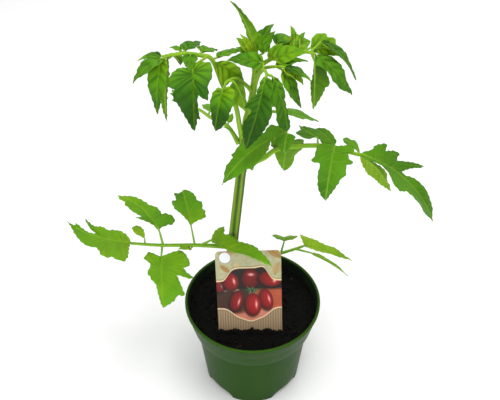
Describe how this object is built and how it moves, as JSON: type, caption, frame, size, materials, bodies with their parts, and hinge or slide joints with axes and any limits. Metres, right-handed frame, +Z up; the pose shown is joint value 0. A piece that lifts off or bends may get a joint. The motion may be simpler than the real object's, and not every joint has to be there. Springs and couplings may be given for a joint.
{
  "type": "potted tomato plant",
  "caption": "Young tomato plant with drooping toothed compound leaves, in a flared green nursery pot with potting soil and a blank picture label.",
  "frame": {"origin": "middle of the pot's underside, on the surface it stands on", "axes": "+Z up along the pot's axis, -Y towards the front, where the plant label faces, +X to the right as seen from the front"},
  "size_m": [0.2982, 0.1702, 0.369],
  "materials": {
    "pot_plastic": "satin green moulded plastic",
    "potting_soil": "moist dark potting compost",
    "label_card": "printed plastic sheet",
    "stem_skin": "pale green hairy skin",
    "leaf_blade": "satin green leaf with sunken veins",
    "young_leaf": "light green young leaf"
  },
  "bodies": {
    "root": {"pot": "pot_plastic", "soil": "potting_soil", "plant_label": "label_card", "main_stem": "stem_skin", "leaf_1_low_left": "leaf_blade", "leaf_2_low_right": "leaf_blade", "leaf_3_right": "leaf_blade", "leaf_4_back_left": "leaf_blade", "leaf_5_upper_left": "leaf_blade", "leaf_6_upper_right": "leaf_blade", "leaf_7_front": "leaf_blade", "leaf_8_inner_left": "leaf_blade", "leaf_9_back_right": "leaf_blade", "leaf_10_front_right": "leaf_blade", "growing_tip": "young_leaf"}
  },
  "joints": []
}
